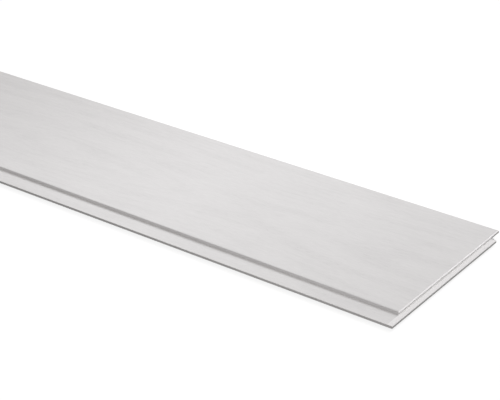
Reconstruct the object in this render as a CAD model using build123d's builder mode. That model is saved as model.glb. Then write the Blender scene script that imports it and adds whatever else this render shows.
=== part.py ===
from build123d import *

import os

# Decorative wall and ceiling panel: one moulded board, with tongues and grooves on its four sides.
#
# The board lies on its back, face up. X runs along its length, Y across it and Z through it. The origin
# is under the middle of the board, on the plane of its back.
#
# The near long edge (-Y) steps down from the face to a ledge, and the ledge ends in a thin tongue. On the
# far long edge (+Y) the face reaches out over a groove, and the lip under the groove is the shorter one.
# Pushed together, two boards leave a strip of the ledge in view, as a recessed joint between their faces.
# The right end (+X) has a tongue and the left end (-X) a groove, and there the faces meet edge to edge.

# The board, in millimetres
face_length = 2600.0
face_width = 195.0
thickness = 8.0

# The stepped joint along the long edges
ledge_drop = 3.0  # from the face down to the ledge and the tops of the tongues
joint_gap = 5.0  # strip of the ledge that shows between two joined faces
lap = 9.5  # how much further the upper lip of the groove reaches than the lower one
long_tongue = 6.2  # length of the tongue past the shoulder under the ledge

# The tongues, and the room that they have in the grooves
tongue_thickness = 2.8
end_tongue = 5.8  # length of the tongue past the end of the face
side_clearance = 0.15  # above and below a tongue in its groove
tip_clearance = 0.5  # from a tongue's tip to the bottom of its groove
back_relief = 0.3  # keeps the backs of two boards apart where their ends meet

# Edges
edge_radius = 1.6  # rounded long edges of the face
cove_radius = 0.8  # corner between the face's step and the ledge
tip_chamfer = 0.3  # lead-in on the tongues and on the lower lips of the grooves
end_bevel = 0.8  # across the two ends of the face

# Heights above the back
z_face = thickness
z_tongue_top = thickness - ledge_drop
z_tongue_bottom = z_tongue_top - tongue_thickness
z_groove_top = z_tongue_top + side_clearance
z_groove_bottom = z_tongue_bottom - side_clearance

# Places across the width, from the tip of the long tongue to the far edge of the face
ledge_width = joint_gap + lap
overall_width = face_width + ledge_width + long_tongue
y_tip = -overall_width / 2
y_shoulder = y_tip + long_tongue
y_near = y_shoulder + ledge_width
y_far = overall_width / 2
y_lower_lip = y_far - lap
y_groove = y_lower_lip - long_tongue - tip_clearance

# Places along the length, from the face's end over the end groove to the tip of the end tongue
overall_length = face_length + end_tongue
x_left = -overall_length / 2
x_lower_lip = x_left + back_relief
x_groove = x_left + end_tongue + tip_clearance
x_face_end = x_left + face_length
x_tip = overall_length / 2

# The rounding of the face's long edges fits the thin upper lip, and leaves the step room for its cove
upper_lip = z_face - z_groove_top
rounding = min(edge_radius, 0.9 * upper_lip, 0.9 * (ledge_drop - cove_radius))


with BuildPart() as panel:
    # Section across the width, the same from end to end
    with BuildSketch(Plane.YZ) as section:
        with BuildLine():
            Polyline(
                (y_shoulder, 0),
                (y_lower_lip, 0),
                (y_lower_lip, z_groove_bottom),
                (y_groove, z_groove_bottom),
                (y_groove, z_groove_top),
                (y_far, z_groove_top),
                (y_far, z_face),
                (y_near, z_face),
                (y_near, z_tongue_top),
                (y_tip, z_tongue_top),
                (y_tip, z_tongue_bottom),
                (y_shoulder, z_tongue_bottom),
                close=True,
            )
        make_face()
        face_corners = section.vertices().group_by(Axis.Y)[-1]
        fillet(face_corners, radius=rounding)
        step_corner = section.vertices().sort_by_distance((y_near, z_tongue_top))[0]
        fillet(step_corner, radius=cove_radius)
        tongue_corners = section.vertices().group_by(Axis.X)[0]
        chamfer(tongue_corners, length=tip_chamfer)
        lip_corner = section.vertices().sort_by_distance((y_lower_lip, z_groove_bottom))[0]
        chamfer(lip_corner, length=tip_chamfer)
    extrude(amount=overall_length / 2, both=True)

    # Right end: the cutter takes the board away above and below the end tongue
    with BuildSketch(Plane.XZ):
        with BuildLine():
            Polyline(
                (x_face_end - end_bevel, z_face),
                (x_face_end, z_face - end_bevel),
                (x_face_end, z_tongue_top),
                (x_tip - tip_chamfer, z_tongue_top),
                (x_tip, z_tongue_top - tip_chamfer),
                (x_tip, z_face),
                close=True,
            )
        make_face()
        with BuildLine():
            Polyline(
                (x_face_end, 0),
                (x_tip, 0),
                (x_tip, z_tongue_bottom + tip_chamfer),
                (x_tip - tip_chamfer, z_tongue_bottom),
                (x_face_end, z_tongue_bottom),
                close=True,
            )
        make_face()
    extrude(amount=overall_width, both=True, mode=Mode.SUBTRACT)

    # Left end: the cutter opens the end groove, sets the lower lip back and bevels the face
    with BuildSketch(Plane.XZ):
        with BuildLine():
            Polyline(
                (x_left, z_groove_top),
                (x_groove, z_groove_top),
                (x_groove, z_groove_bottom),
                (x_lower_lip + tip_chamfer, z_groove_bottom),
                (x_lower_lip, z_groove_bottom - tip_chamfer),
                (x_lower_lip, 0),
                (x_left, 0),
                close=True,
            )
        make_face()
        with BuildLine():
            Polyline(
                (x_left, z_face - end_bevel),
                (x_left + end_bevel, z_face),
                (x_left, z_face),
                close=True,
            )
        make_face()
    extrude(amount=overall_width, both=True, mode=Mode.SUBTRACT)

panel.part.label = "panel"

os.makedirs("parts", exist_ok=True)
export_step(panel.part, "parts/panel.step")
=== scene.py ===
import math

import bmesh
import bpy
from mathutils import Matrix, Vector


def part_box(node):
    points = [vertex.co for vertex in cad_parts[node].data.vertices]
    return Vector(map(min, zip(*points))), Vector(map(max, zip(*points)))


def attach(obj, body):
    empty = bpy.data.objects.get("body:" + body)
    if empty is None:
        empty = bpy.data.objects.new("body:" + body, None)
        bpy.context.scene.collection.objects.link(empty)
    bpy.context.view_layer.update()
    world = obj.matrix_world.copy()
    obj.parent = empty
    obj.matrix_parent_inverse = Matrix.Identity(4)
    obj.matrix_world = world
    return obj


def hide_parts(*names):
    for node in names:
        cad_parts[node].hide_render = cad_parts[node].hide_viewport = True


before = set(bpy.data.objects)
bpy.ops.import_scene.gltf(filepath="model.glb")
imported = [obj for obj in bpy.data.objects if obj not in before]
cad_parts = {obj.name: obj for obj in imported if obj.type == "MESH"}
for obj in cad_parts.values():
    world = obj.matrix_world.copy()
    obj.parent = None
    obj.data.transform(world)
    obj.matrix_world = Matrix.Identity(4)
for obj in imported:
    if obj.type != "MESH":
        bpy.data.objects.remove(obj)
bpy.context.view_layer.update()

# Panel: one moulded fibreboard lining panel, lying on its back.
# A white ash foil is wrapped over its face, its rounded long edges and its ledge. The tongues, the
# grooves and the ends are milled after that and show the bare board, and the back has a paper liner.
MM = 0.001
panel_low, panel_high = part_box("panel")
face_length = 2600 * MM
ledge_drop = 3 * MM
joint_gap = 5 * MM
lap = 9.5 * MM
long_tongue = 6.2 * MM
tongue_thickness = 2.8 * MM
side_clearance = 0.15 * MM
tip_clearance = 0.5 * MM
back_relief = 0.3 * MM
edge_radius = 1.6 * MM
cove_radius = 0.8 * MM
tip_chamfer = 0.3 * MM
end_bevel = 0.8 * MM
arc_steps = 10

z_back = panel_low.z
z_face = panel_high.z
z_tongue_top = z_face - ledge_drop
z_tongue_bottom = z_tongue_top - tongue_thickness
z_groove_top = z_tongue_top + side_clearance
z_groove_bottom = z_tongue_bottom - side_clearance

y_tip = panel_low.y
y_shoulder = y_tip + long_tongue
y_near = y_shoulder + joint_gap + lap
y_far = panel_high.y
y_lower_lip = y_far - lap
y_groove = y_lower_lip - long_tongue - tip_clearance

x_left = panel_low.x
x_tip = panel_high.x
x_face_end = x_left + face_length
end_tongue = x_tip - x_face_end
x_lower_lip = x_left + back_relief
x_groove = x_left + end_tongue + tip_clearance


def arc(centre, radius, start, end):
    """Points on a round edge of the section, from one angle to the other, in degrees."""
    points = []
    for step in range(arc_steps + 1):
        angle = math.radians(start + (end - start) * step / arc_steps)
        points.append((centre[0] + radius * math.cos(angle), centre[1] + radius * math.sin(angle)))
    return points


def outline_object(name, outlines):
    """A wire of closed outlines, one loop of edges each, drawn flat for a sweep."""
    wire = bpy.data.meshes.new(name)
    points = []
    edges = []
    for outline in outlines:
        first = len(points)
        count = len(outline)
        points += [(across, up, 0) for across, up in outline]
        edges += [(first + i, first + (i + 1) % count) for i in range(count)]
    wire.from_pydata(points, edges, [])
    holder = bpy.data.objects.new(name, wire)
    bpy.context.scene.collection.objects.link(holder)
    return holder


section = [
    (y_shoulder, z_back),
    (y_lower_lip, z_back),
    (y_lower_lip, z_groove_bottom - tip_chamfer),
    (y_lower_lip - tip_chamfer, z_groove_bottom),
    (y_groove, z_groove_bottom),
    (y_groove, z_groove_top),
    (y_far, z_groove_top),
    *arc((y_far - edge_radius, z_face - edge_radius), edge_radius, 0, 90),
    *arc((y_near + edge_radius, z_face - edge_radius), edge_radius, 90, 180),
    *arc((y_near - cove_radius, z_tongue_top + cove_radius), cove_radius, 0, -90),
    (y_tip + tip_chamfer, z_tongue_top),
    (y_tip, z_tongue_top - tip_chamfer),
    (y_tip, z_tongue_bottom + tip_chamfer),
    (y_tip + tip_chamfer, z_tongue_bottom),
    (y_shoulder, z_tongue_bottom),
]

# The cutters run past the board's ends, its face and its back, so that they leave no skin there
past = 1 * MM
above_tongue = [
    (x_face_end - end_bevel - past, z_face + past),
    (x_face_end, z_face - end_bevel),
    (x_face_end, z_tongue_top),
    (x_tip - tip_chamfer, z_tongue_top),
    (x_tip + past, z_tongue_top - tip_chamfer - past),
    (x_tip + past, z_face + past),
]
below_tongue = [
    (x_face_end, z_back - past),
    (x_tip + past, z_back - past),
    (x_tip + past, z_tongue_bottom + tip_chamfer + past),
    (x_tip - tip_chamfer, z_tongue_bottom),
    (x_face_end, z_tongue_bottom),
]
groove_and_lip = [
    (x_left - past, z_back - past),
    (x_lower_lip, z_back - past),
    (x_lower_lip, z_groove_bottom - tip_chamfer),
    (x_lower_lip + tip_chamfer, z_groove_bottom),
    (x_groove, z_groove_bottom),
    (x_groove, z_groove_top),
    (x_left - past, z_groove_top),
]
groove_end_bevel = [
    (x_left - past, z_face - end_bevel - past),
    (x_left + end_bevel + past, z_face + past),
    (x_left - past, z_face + past),
]


def add_node(tree, kind, links=None, **settings):
    """Adds a node, sets it up, and links or sets its inputs, each by its name or its number."""
    node = tree.nodes.new(kind)
    for name, value in settings.items():
        setattr(node, name, value)
    for key, value in (links or {}).items():
        if isinstance(value, bpy.types.NodeSocket):
            tree.links.new(value, node.inputs[key])
        else:
            node.inputs[key].default_value = value
    return node


def srgb(code):
    """A linear colour from its sRGB hex code."""
    channels = [int(code[i:i + 2], 16) / 255 for i in (1, 3, 5)]
    linear = [c / 12.92 if c <= 0.04045 else ((c + 0.055) / 1.055) ** 2.4 for c in channels]
    return (*linear, 1)


def empty_material(name):
    """A material without nodes, and the tree that takes them."""
    material = bpy.data.materials.new(name)
    material.use_nodes = True
    material.node_tree.nodes.clear()
    return material, material.node_tree


# White ash foil: a printed and lightly embossed decor film, lacquered satin.
# It gives the eye an even white, with soft grey growth rings drawn out into long arches and fine dashes.
ring_spacing = 20 * MM
ring_offset = 9 * MM  # from the pith to where the first ring begins
fine_rings = 3  # in each broad one
ring_tones = ((0.25, 1.0), (0.6, 0.3))  # how dark a ring is at which part of its width
ring_start_tone = 0.2
pith_depth = 39 * MM  # under the face on average, and pith_rise more or less than that
pith_rise = 11 * MM
pith_wave = 480 * MM
pith_nearest = x_face_end
pith_y = -5 * MM
pith_slant = math.radians(1.2)
sway_reach = 4 * MM
sway_length = 130 * MM
sway_width = 45 * MM
fade_length = 75 * MM
fade_width = 20 * MM
sway_slice = 12  # the slices of the three noises decide where the rings bend and fade
fade_slice = 5
fine_fade_slice = 23
fibre_width = 1.5 * MM  # real fibres and pores are about 0.2 mm wide and would not show
fibre_length = 9 * MM
pore_width = 1.1 * MM
pore_length = 7 * MM
cloud_length = 75 * MM
cloud_width = 26 * MM
pore_share = 0.36  # the shares are how much each layer of the grain adds to the ink
ring_share = 0.2
fine_share = 0.16
cloud_share = 0.25
fibre_share = 0.42

foil, tree = empty_material("white_ash_foil")
place = add_node(tree, "ShaderNodeTexCoord").outputs["Object"]

# Growth rings of a flat-sawn board: rings around a pith that lies a little askew under the face, and rises
# to it and sinks again in long waves. So the rings next to the pith close to ovals and arches
pith_line = add_node(tree, "ShaderNodeMapping", {
    "Vector": place, "Location": (pith_nearest, pith_y, 0), "Rotation": (0, 0, pith_slant),
    "Scale": (pith_wave / (2 * math.pi), 1, 1),
}, vector_type="TEXTURE").outputs["Vector"]
pith_parts = add_node(tree, "ShaderNodeSeparateXYZ", {"Vector": pith_line}).outputs
pith_swing = add_node(tree, "ShaderNodeMath", {0: pith_parts["X"]}, operation="COSINE").outputs["Value"]
pith_below = add_node(tree, "ShaderNodeMath", {0: pith_swing, 1: -pith_rise, 2: pith_depth},
                      operation="MULTIPLY_ADD").outputs["Value"]
pith = add_node(tree, "ShaderNodeCombineXYZ", {"X": pith_below, "Y": pith_parts["Y"]}).outputs["Vector"]
sway = add_node(tree, "ShaderNodeMapping", {
    "Vector": place, "Location": (0, 0, sway_slice), "Scale": (1 / sway_length, 1 / sway_width, 1),
}).outputs["Vector"]
sway_noise = add_node(tree, "ShaderNodeTexNoise", {
    "Vector": sway, "Scale": 1, "Detail": 3, "Roughness": 0.5,
}).outputs["Color"]
sway_centred = add_node(tree, "ShaderNodeVectorMath", {0: sway_noise, 1: (0.5, 0.5, 0.5)},
                        operation="SUBTRACT").outputs["Vector"]
sway_move = add_node(tree, "ShaderNodeVectorMath", {0: sway_centred, "Scale": 2 * sway_reach},
                     operation="SCALE").outputs["Vector"]
ring_place = add_node(tree, "ShaderNodeVectorMath", {0: pith, 1: sway_move},
                      operation="ADD").outputs["Vector"]
ring_radius = add_node(tree, "ShaderNodeVectorMath", {0: ring_place},
                       operation="LENGTH").outputs["Value"]
ring_count = add_node(tree, "ShaderNodeMath", {
    0: ring_radius, 1: 1 / ring_spacing, 2: -ring_offset / ring_spacing,
}, operation="MULTIPLY_ADD").outputs["Value"]

# Broad yearly bands and, several to each of them, fine ones. Both fade in and out along the board
bands = []
for repeat, fade_at in ((1, fade_slice), (fine_rings, fine_fade_slice)):
    band_count = add_node(tree, "ShaderNodeMath", {0: ring_count, 1: repeat},
                          operation="MULTIPLY").outputs["Value"]
    band_phase = add_node(tree, "ShaderNodeMath", {0: band_count}, operation="FRACT").outputs["Value"]
    band_tone = add_node(tree, "ShaderNodeValToRGB", {"Fac": band_phase})
    band_tone.color_ramp.interpolation = "EASE"
    for position, tone in ring_tones:
        step = band_tone.color_ramp.elements.new(position)
        step.color = (tone, tone, tone, 1)
    for wrap in (band_tone.color_ramp.elements[0], band_tone.color_ramp.elements[-1]):
        wrap.color = (ring_start_tone, ring_start_tone, ring_start_tone, 1)
    fade_place = add_node(tree, "ShaderNodeMapping", {
        "Vector": place, "Location": (0, 0, fade_at), "Scale": (1 / fade_length, 1 / fade_width, 1),
    }).outputs["Vector"]
    fade_noise = add_node(tree, "ShaderNodeTexNoise", {
        "Vector": fade_place, "Scale": 1, "Detail": 1, "Roughness": 0.5,
    }).outputs["Fac"]
    fade = add_node(tree, "ShaderNodeMapRange", {
        "Value": fade_noise, "From Min": 0.36, "From Max": 0.64, "To Min": 0.1, "To Max": 1.0,
    }, interpolation_type="SMOOTHSTEP").outputs["Result"]
    bands.append(add_node(tree, "ShaderNodeMath", {0: band_tone.outputs["Color"], 1: fade},
                          operation="MULTIPLY").outputs["Value"])
ring_dark, fine_dark = bands

# Fibres, clouds and pores are noises drawn out along the board
noises = []
for stretch, detail, roughness in (
    ((1 / fibre_length, 1 / fibre_width, 1 / fibre_width), 4, 0.65),
    ((1 / cloud_length, 1 / cloud_width, 1), 1, 0.5),
    ((1 / pore_length, 1 / pore_width, 1 / pore_width), 2, 0.55),
):
    noise_place = add_node(tree, "ShaderNodeMapping", {"Vector": place, "Scale": stretch}).outputs["Vector"]
    noises.append(add_node(tree, "ShaderNodeTexNoise", {
        "Vector": noise_place, "Scale": 1, "Detail": detail, "Roughness": roughness,
    }).outputs["Fac"])
fibre_noise, cloud, pore_noise = noises
fibre = add_node(tree, "ShaderNodeMapRange", {
    "Value": fibre_noise, "From Min": 0.25, "From Max": 0.75, "To Min": 0.0, "To Max": 1.0,
}).outputs["Result"]
pore = add_node(tree, "ShaderNodeMapRange", {
    "Value": pore_noise, "From Min": 0.55, "From Max": 0.72, "To Min": 0.0, "To Max": 1.0,
}, interpolation_type="SMOOTHSTEP").outputs["Result"]

# Pores crowd in the early wood, at the dark side of each ring
crowding = add_node(tree, "ShaderNodeMath", {0: ring_dark, 1: 0.75, 2: 0.25},
                    operation="MULTIPLY_ADD").outputs["Value"]
ring_pores = add_node(tree, "ShaderNodeMath", {0: pore, 1: crowding}, operation="MULTIPLY").outputs["Value"]
grain = add_node(tree, "ShaderNodeMath", {0: ring_pores, 1: pore_share},
                 operation="MULTIPLY").outputs["Value"]
for layer, share in (
    (ring_dark, ring_share),
    (fine_dark, fine_share),
    (cloud, cloud_share),
    (fibre, fibre_share),
):
    grain = add_node(tree, "ShaderNodeMath", {0: layer, 1: share, 2: grain},
                     operation="MULTIPLY_ADD").outputs["Value"]
ink = add_node(tree, "ShaderNodeValToRGB", {"Fac": grain})
ink.color_ramp.elements[0].color = srgb("#E7E6E6")
ink.color_ramp.elements[1].color = srgb("#D6D5D5")
sheen_change = add_node(tree, "ShaderNodeMapRange", {
    "Value": grain, "From Min": 0, "From Max": 1, "To Min": 0.42, "To Max": 0.56,
}).outputs["Result"]
emboss = add_node(tree, "ShaderNodeBump", {
    "Height": grain, "Strength": 0.25, "Distance": 0.05 * MM,
}, invert=True).outputs["Normal"]
foil_surface = add_node(tree, "ShaderNodeBsdfPrincipled", {
    "Base Color": ink.outputs["Color"], "Roughness": sheen_change, "Normal": emboss, "IOR": 1.5,
}).outputs["BSDF"]
add_node(tree, "ShaderNodeOutputMaterial", {"Surface": foil_surface})

# White fibreboard: milled, uncoated, through-dyed wood fibre.
# It gives the eye a dry, matt white with fine specks and faint marks of the cutter.
fibre_size = 0.8 * MM  # real fibres are about 0.05 mm and would not show
cutter_mark = 1.6 * MM

core, tree = empty_material("white_fibreboard")
place = add_node(tree, "ShaderNodeTexCoord").outputs["Object"]
fibre_place = add_node(tree, "ShaderNodeMapping", {
    "Vector": place, "Scale": (1 / fibre_size, 1 / fibre_size, 1 / fibre_size),
}).outputs["Vector"]
fibre = add_node(tree, "ShaderNodeTexNoise", {
    "Vector": fibre_place, "Scale": 1, "Detail": 4, "Roughness": 0.7,
}).outputs["Fac"]
mark_place = add_node(tree, "ShaderNodeMapping", {
    "Vector": place, "Scale": (1 / cutter_mark, 1 / cutter_mark, 0),
}).outputs["Vector"]
mark = add_node(tree, "ShaderNodeTexNoise", {
    "Vector": mark_place, "Scale": 1, "Detail": 1, "Roughness": 0.5,
}).outputs["Fac"]
fuzz = add_node(tree, "ShaderNodeMath", {0: fibre, 1: mark}, operation="MULTIPLY").outputs["Value"]
fibre_tone = add_node(tree, "ShaderNodeValToRGB", {"Fac": fibre})
for stop, position, code in zip(fibre_tone.color_ramp.elements, (0.3, 0.7), ("#EBEAEA", "#F8F7F7")):
    stop.position = position
    stop.color = srgb(code)
fuzz_bump = add_node(tree, "ShaderNodeBump", {
    "Height": fuzz, "Strength": 0.4, "Distance": 0.1 * MM,
}).outputs["Normal"]
core_surface = add_node(tree, "ShaderNodeBsdfPrincipled", {
    "Base Color": fibre_tone.outputs["Color"], "Roughness": 0.85, "Normal": fuzz_bump, "IOR": 1.45,
}).outputs["BSDF"]
add_node(tree, "ShaderNodeOutputMaterial", {"Surface": core_surface})

# Bevel highlight: a thin lacquer rolled on the bevels across the two ends, coloured whiter than the bare
# board as a painted highlight.
# It gives the eye a thin bright line, whiter and a little shinier than the foil, slightly streaky; the edge
# light adds a real reflection on it.
paint_streak = 3 * MM

bevel_highlight_lacquer, tree = empty_material("bevel_painted_highlight")
place = add_node(tree, "ShaderNodeTexCoord").outputs["Object"]
streaks = add_node(tree, "ShaderNodeTexNoise", {
    "Vector": place, "Scale": 1 / paint_streak, "Detail": 2, "Roughness": 0.5,
}).outputs["Fac"]
bevel_highlight_tone = add_node(tree, "ShaderNodeValToRGB", {"Fac": streaks})
# These near-white tones, whiter than the bare board, are a painted highlight on the bevels
for stop, position, code in zip(bevel_highlight_tone.color_ramp.elements, (0.3, 0.7), ("#F6F5F5", "#FDFCFC")):
    stop.position = position
    stop.color = srgb(code)
paint_bump = add_node(tree, "ShaderNodeBump", {
    "Height": streaks, "Strength": 0.15, "Distance": 0.05 * MM,
}).outputs["Normal"]
bevel_highlight_surface = add_node(tree, "ShaderNodeBsdfPrincipled", {
    "Base Color": bevel_highlight_tone.outputs["Color"], "Roughness": 0.3, "Normal": paint_bump, "IOR": 1.5,
}).outputs["BSDF"]
add_node(tree, "ShaderNodeOutputMaterial", {"Surface": bevel_highlight_surface})

# Backing paper: a plain resin-soaked liner pressed on the back to keep the board flat.
# It gives the eye a slightly warm, cloudy off-white with a dull shine.
cloud_size = 18 * MM
paper_fibre = 1.2 * MM

liner, tree = empty_material("backing_paper")
place = add_node(tree, "ShaderNodeTexCoord").outputs["Object"]
cloud = add_node(tree, "ShaderNodeTexNoise", {
    "Vector": place, "Scale": 1 / cloud_size, "Detail": 5, "Roughness": 0.6,
}).outputs["Fac"]
paper_tone = add_node(tree, "ShaderNodeValToRGB", {"Fac": cloud})
for stop, position, code in zip(paper_tone.color_ramp.elements, (0.3, 0.7), ("#D6D3CE", "#E2DFDA")):
    stop.position = position
    stop.color = srgb(code)
paper_grain = add_node(tree, "ShaderNodeTexNoise", {
    "Vector": place, "Scale": 1 / paper_fibre, "Detail": 3, "Roughness": 0.6,
}).outputs["Fac"]
paper_bump = add_node(tree, "ShaderNodeBump", {
    "Height": paper_grain, "Strength": 0.2, "Distance": 0.05 * MM,
}).outputs["Normal"]
paper_surface = add_node(tree, "ShaderNodeBsdfPrincipled", {
    "Base Color": paper_tone.outputs["Color"], "Roughness": 0.6, "Normal": paper_bump, "IOR": 1.5,
}).outputs["BSDF"]
add_node(tree, "ShaderNodeOutputMaterial", {"Surface": paper_surface})

# The board is its section swept along the length, less what the end cutters sweep across the width
moulder = bpy.data.node_groups.new("milled_board", "GeometryNodeTree")
socket_ids = {}
for label, kind in (
    ("Section", "NodeSocketGeometry"),
    ("Length", "NodeSocketFloat"),
    ("End cutters", "NodeSocketObject"),
    ("Cutter reach", "NodeSocketFloat"),
    ("Foil", "NodeSocketMaterial"),
):
    socket_ids[label] = moulder.interface.new_socket(label, in_out="INPUT", socket_type=kind).identifier
moulder.interface.new_socket("Board", in_out="OUTPUT", socket_type="NodeSocketGeometry")
given = add_node(moulder, "NodeGroupInput").outputs

sweeps = []
cutter_info = add_node(moulder, "GeometryNodeObjectInfo", {"Object": given["End cutters"]})
cutter_wire = cutter_info.outputs["Geometry"]
along = (math.radians(90), 0, math.radians(90))
across = (math.radians(90), 0, 0)
for wire, reach, turn in (
    (given["Section"], given["Length"], along),
    (cutter_wire, given["Cutter reach"], across),
):
    outline = add_node(moulder, "GeometryNodeMeshToCurve", {"Mesh": wire}).outputs["Curve"]
    ends = []
    for part in (-0.5, 0.5):
        height = add_node(moulder, "ShaderNodeMath", {0: reach, 1: part},
                          operation="MULTIPLY").outputs["Value"]
        ends.append(add_node(moulder, "ShaderNodeCombineXYZ", {"Z": height}).outputs["Vector"])
    path = add_node(moulder, "GeometryNodeCurvePrimitiveLine", {
        "Start": ends[0], "End": ends[1],
    }).outputs["Curve"]
    swept = add_node(moulder, "GeometryNodeCurveToMesh", {
        "Curve": path, "Profile Curve": outline, "Fill Caps": True,
    }).outputs["Mesh"]
    turned = add_node(moulder, "GeometryNodeTransform", {
        "Geometry": swept, "Rotation": turn,
    }).outputs["Geometry"]
    sweeps.append(turned)
milled = add_node(moulder, "GeometryNodeMeshBoolean", {"Mesh 1": sweeps[0], "Mesh 2": sweeps[1]},
                  operation="DIFFERENCE", solver="EXACT").outputs["Mesh"]
real = add_node(moulder, "GeometryNodeRealizeInstances", {"Geometry": milled}).outputs["Geometry"]
wrapped = add_node(moulder, "GeometryNodeSetMaterial", {
    "Geometry": real, "Material": given["Foil"],
}).outputs["Geometry"]
add_node(moulder, "NodeGroupOutput", {"Board": wrapped})

blank = outline_object("panel_section", [section])
cutters = outline_object("end_cutters", [above_tongue, below_tongue, groove_and_lip, groove_end_bevel])
moulding = blank.modifiers.new("moulding", "NODES")
moulding.node_group = moulder
moulding[socket_ids["Length"]] = x_tip - x_left
moulding[socket_ids["End cutters"]] = cutters
moulding[socket_ids["Cutter reach"]] = (y_far - y_tip) * 2
moulding[socket_ids["Foil"]] = foil

evaluated = blank.evaluated_get(bpy.context.evaluated_depsgraph_get())
board_mesh = bpy.data.meshes.new_from_object(evaluated)
for leftover in (blank, cutters):
    bpy.data.objects.remove(leftover)

weld = 0.002 * MM
shell = bmesh.new()
shell.from_mesh(board_mesh)
bmesh.ops.remove_doubles(shell, verts=shell.verts, dist=weld)
bmesh.ops.dissolve_degenerate(shell, edges=shell.edges, dist=weld)
bmesh.ops.recalc_face_normals(shell, faces=shell.faces)
shell.to_mesh(board_mesh)
shell.free()

# The foil keeps to the face, the long edges and the ledge, and the bevels across the ends take the lacquer
# with its painted highlight;
# the rest is bare board or liner
level = 0.01 * MM
upright = 0.1  # the most that an upright side's normal leans
sloping = 0.3  # the least that a bevel's normal leans
flat = 0.9
sharp_angle = math.radians(30)
board_mesh.materials.clear()
finishes = (foil, core, liner, bevel_highlight_lacquer)
for finish in finishes:
    board_mesh.materials.append(finish)
for side in board_mesh.polygons:
    over_end_tongue = side.center.x > x_face_end and side.center.y > y_near
    faces_end = abs(side.normal.x) > upright
    high = side.center.z > z_tongue_top - level and side.normal.z > -upright
    at_bevel = side.center.z > z_face - end_bevel - level
    if side.normal.z < -flat and side.center.z < z_back + level:
        finish = liner
    # The bevels get the whiter colour that paints in their highlight
    elif at_bevel and abs(side.normal.x) > sloping and side.normal.z > sloping:
        finish = bevel_highlight_lacquer
    elif high and not faces_end and not over_end_tongue:
        finish = foil
    else:
        finish = core
    side.material_index = finishes.index(finish)
    side.use_smooth = True
board_mesh.set_sharp_from_angle(angle=sharp_angle)

panel = bpy.data.objects.new("panel_board", board_mesh)
bpy.context.scene.collection.objects.link(panel)
even_normals = panel.modifiers.new("even_normals", "WEIGHTED_NORMAL")
even_normals.keep_sharp = True
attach(panel, "root")
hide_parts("panel")

# Floor: a plain pale studio sweep under the panel, lit and shaded as any floor.
# Seen straight by the camera it is lifted to white, and it still takes the panel's shadow.
floor_size = 60
floor_gap = 0.1 * MM  # keeps the floor and the panel's back from lying in one plane
lift_strength = 0.86
z_floor = z_back - floor_gap
corner = floor_size / 2
floor_mesh = bpy.data.meshes.new("studio_floor")
floor_mesh.from_pydata(
    [(x * corner, y * corner, z_floor) for x, y in ((-1, -1), (1, -1), (1, 1), (-1, 1))],
    [],
    [(0, 1, 2, 3)],
)
floor = bpy.data.objects.new("studio_floor", floor_mesh)
bpy.context.scene.collection.objects.link(floor)
floor_paint, tree = empty_material("pale_floor_paint")
ray = add_node(tree, "ShaderNodeLightPath").outputs
seen = add_node(tree, "ShaderNodeMath", {0: ray["Is Camera Ray"], 1: ray["Is Glossy Ray"]},
                operation="MAXIMUM").outputs["Value"]
seen_or_through = add_node(tree, "ShaderNodeMath", {0: seen, 1: ray["Is Transmission Ray"]},
                           operation="MAXIMUM").outputs["Value"]
plain = add_node(tree, "ShaderNodeBsdfDiffuse", {"Color": srgb("#484848")}).outputs["BSDF"]
white = add_node(tree, "ShaderNodeBsdfDiffuse", {"Color": srgb("#808080")}).outputs["BSDF"]
lift = add_node(tree, "ShaderNodeEmission", {
    "Color": srgb("#FFFFFF"), "Strength": lift_strength,
}).outputs["Emission"]
lifted = add_node(tree, "ShaderNodeAddShader", {0: white, 1: lift}).outputs["Shader"]
floor_surface = add_node(tree, "ShaderNodeMixShader", {
    "Fac": seen_or_through, 1: plain, 2: lifted,
}).outputs["Shader"]
add_node(tree, "ShaderNodeOutputMaterial", {"Surface": floor_surface})
floor_mesh.materials.append(floor_paint)

# Studio light: a broad key and a soft spot, both from behind the far edge, and an even fill all round.
# They leave the step along the ledge and the tips of the tongues in shade, and the spot lifts the right part.
# A weak front spot softens the shade near the right end, and a weak edge light shines back from its bevel.
def add_lamp(name, kind, source, target, **settings):
    """Adds a lamp at its source, turned towards its target. Of a sun, only the direction counts."""
    light = bpy.data.lights.new(name, kind)
    for setting, value in settings.items():
        setattr(light, setting, value)
    lamp = bpy.data.objects.new(name, light)
    lamp.location = source
    lamp.rotation_euler = (source - target).to_track_quat("Z", "Y").to_euler()
    bpy.context.scene.collection.objects.link(lamp)
    return lamp


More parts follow.
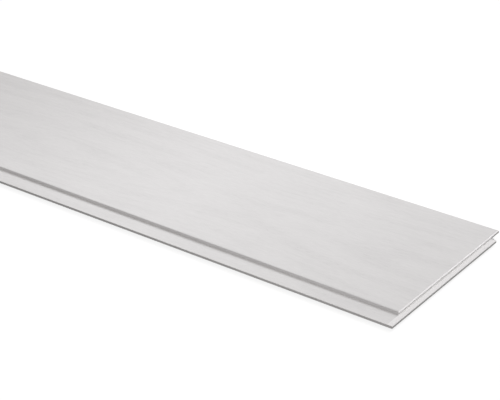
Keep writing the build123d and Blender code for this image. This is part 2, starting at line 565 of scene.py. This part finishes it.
origin = Vector((0, 0, 0))
cool_white = (0.98, 0.985, 1)
add_lamp("key_light", "SUN", Vector((0, 0.68, 0.74)), origin,
         energy=1.34, color=cool_white, angle=math.radians(45))
soft_spot = add_lamp(
    "soft_spot", "SPOT", Vector((x_face_end - 0.16, 1.3, 0.9)), Vector((x_face_end - 0.34, -0.04, 0)),
    energy=65, color=cool_white, spot_size=math.radians(26), spot_blend=1, shadow_soft_size=0.3,
)
front_spot = add_lamp(
    "front_spot", "SPOT", Vector((x_face_end, -1, 0.25)), Vector((x_face_end - 0.05, y_near, 0)),
    energy=2.5, spot_size=math.radians(45), spot_blend=1, shadow_soft_size=0.2,
)
edge_light = add_lamp("edge_light", "SUN", Vector((0.5, 0.77, 0.4)), origin,
                      energy=0.34, angle=math.radians(12))

# The spots stay out of reflections, and the edge light shows in them alone
for spot in (soft_spot, front_spot):
    spot.visible_camera = False
    spot.visible_glossy = False
edge_light.visible_diffuse = False

fill_light = 0.46
world = bpy.data.worlds.new("studio")
bpy.context.scene.world = world
world.use_nodes = True
tree = world.node_tree
tree.nodes.clear()
ray = add_node(tree, "ShaderNodeLightPath").outputs
around = add_node(tree, "ShaderNodeBackground", {"Color": srgb("#FFFCFA"), "Strength": fill_light}).outputs[0]
behind = add_node(tree, "ShaderNodeBackground", {"Color": srgb("#FFFFFF"), "Strength": 1}).outputs[0]
sky = add_node(tree, "ShaderNodeMixShader", {
    "Fac": ray["Is Camera Ray"], 1: around, 2: behind,
}).outputs["Shader"]
add_node(tree, "ShaderNodeOutputWorld", {"Surface": sky})

# Camera: a long lens to the near right of the panel, looking down at its right end.
# Its place and its angles were fitted to the lines of the panel's edges in the photo.
from_face_end = 602.2 * MM
from_face_middle = -1152.2 * MM
above_face = 750 * MM
look_down = 27.68
turn_left = 36.223
camera_data = bpy.data.cameras.new("camera")
camera_data.lens = 110.48
camera_data.sensor_width = 36
camera_data.clip_end = 100
camera = bpy.data.objects.new("camera", camera_data)
camera.location = (
    x_face_end + from_face_end,
    (y_near + y_far) / 2 + from_face_middle,
    z_face + above_face,
)
camera.rotation_euler = (math.radians(90 - look_down), 0, math.radians(turn_left))
bpy.context.scene.collection.objects.link(camera)
bpy.context.scene.camera = camera
bpy.context.scene.view_settings.view_transform = "Standard"
